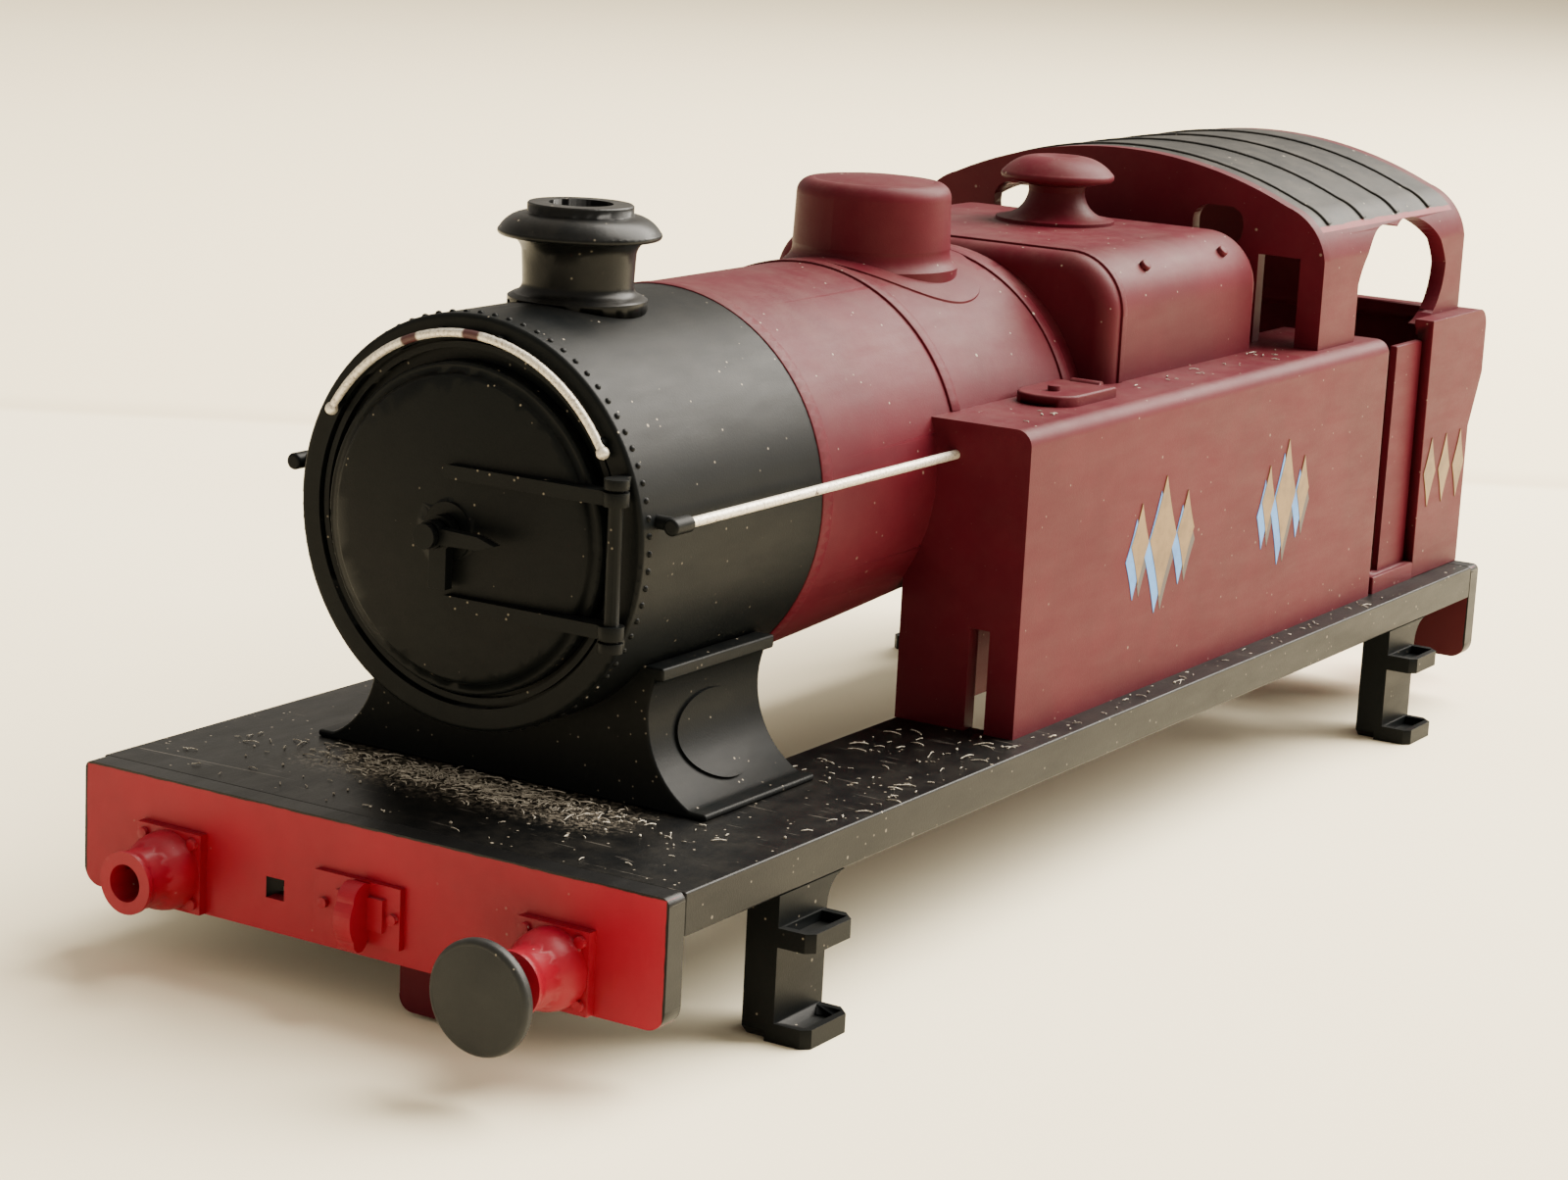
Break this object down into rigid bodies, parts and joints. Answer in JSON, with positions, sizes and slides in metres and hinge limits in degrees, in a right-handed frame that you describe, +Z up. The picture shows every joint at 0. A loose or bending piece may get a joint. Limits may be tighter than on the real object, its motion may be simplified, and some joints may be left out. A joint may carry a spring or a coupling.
{
  "type": "model steam locomotive body shell",
  "caption": "Hollow body of a side-tank steam locomotive with buffers, opening smokebox door, tanks, cab and bunker.",
  "frame": {"origin": "on the surface the steps stand on, at mid length between the buffer faces and mid width", "axes": "+X forwards towards the chimney, +Y the locomotive's left, +Z up"},
  "size_m": [0.1106, 0.0382, 0.0373],
  "materials": {
    "maroon": "self-coloured moulded plastic with a soft sheen",
    "black": "satin black paint over the moulding",
    "signal_red": "bright red satin paint",
    "buffer_black": "matt black",
    "silver": "worn silver paint"
  },
  "bodies": {
    "body_shell": {"arc_handrail": "silver", "arc_handrail_pegs": "black", "boiler_band_1": "maroon", "boiler_band_2": "maroon", "boiler_band_3": "maroon", "boiler_barrel": "maroon", "bunker": "maroon", "cab_front_sheet": "maroon", "cab_rear_sheet": "maroon", "cab_roof": "black", "chimney": "black", "dome": "maroon", "door_hinge_post": "black", "firebox": "maroon", "firebox_band": "maroon", "front_buffer_beam": "signal_red", "front_coupling_hook": "signal_red", "front_fixing_lug": "maroon", "front_left_buffer_housing": "signal_red", "front_right_buffer_housing": "signal_red", "handrail_stanchions": "black", "left_cab_door": "maroon", "left_cab_side": "maroon", "left_front_step": "black", "left_handrail": "silver", "left_rear_step": "black", "left_side_tank": "maroon", "left_tank_filler": "maroon", "rear_buffer_beam": "signal_red", "rear_coupling_hook": "signal_red", "rear_left_buffer_housing": "signal_red", "rear_right_buffer_housing": "signal_red", "rear_screw_post": "maroon", "right_cab_door": "maroon", "right_cab_side": "maroon", "right_front_step": "black", "right_handrail": "silver", "right_rear_step": "black", "right_side_tank": "maroon", "right_tank_filler": "maroon", "roof_ribs": "black", "running_plate": "black", "saddle_covers": "black", "safety_valve_base": "maroon", "safety_valve_cap": "maroon", "smokebox": "black", "smokebox_front_plate": "black", "smokebox_saddle": "black", "washout_plugs": "maroon"},
    "front_left_buffer": {"front_left_buffer_head": "buffer_black"},
    "rear_left_buffer": {"rear_left_buffer_head": "buffer_black"},
    "rear_right_buffer": {"rear_right_buffer_head": "buffer_black"},
    "smokebox_door": {"smokebox_door": "black", "door_upper_strap": "black", "door_lower_strap": "black", "dart_spindle": "black"},
    "locking_handle": {"locking_handle": "black"},
    "tightening_handle": {"tightening_handle": "black"}
  },
  "joints": [
    {"name": "front_left_buffer_slide", "type": "slide", "parent": "body_shell", "child": "front_left_buffer", "axis": [-1, 0, 0], "range_m": [0, 0.0015]},
    {"name": "rear_left_buffer_slide", "type": "slide", "parent": "body_shell", "child": "rear_left_buffer", "axis": [1, 0, 0], "range_m": [0, 0.0015]},
    {"name": "rear_right_buffer_slide", "type": "slide", "parent": "body_shell", "child": "rear_right_buffer", "axis": [1, 0, 0], "range_m": [0, 0.0015]},
    {"name": "smokebox_door_hinge", "type": "hinge", "parent": "body_shell", "child": "smokebox_door", "pos_m": [0.0426, 0.0092, 0.02215], "axis": [0, 0, 1], "range_deg": [0, 100]},
    {"name": "locking_handle_turn", "type": "hinge", "parent": "smokebox_door", "child": "locking_handle", "pos_m": [0.04317, -0.0003, 0.0224], "axis": [1, 0, 0], "range_deg": [0, 90]},
    {"name": "tightening_handle_turn", "type": "hinge", "parent": "smokebox_door", "child": "tightening_handle", "pos_m": [0.04387, -0.0003, 0.0224], "axis": [1, 0, 0], "range_deg": [-90, 90]}
  ]
}
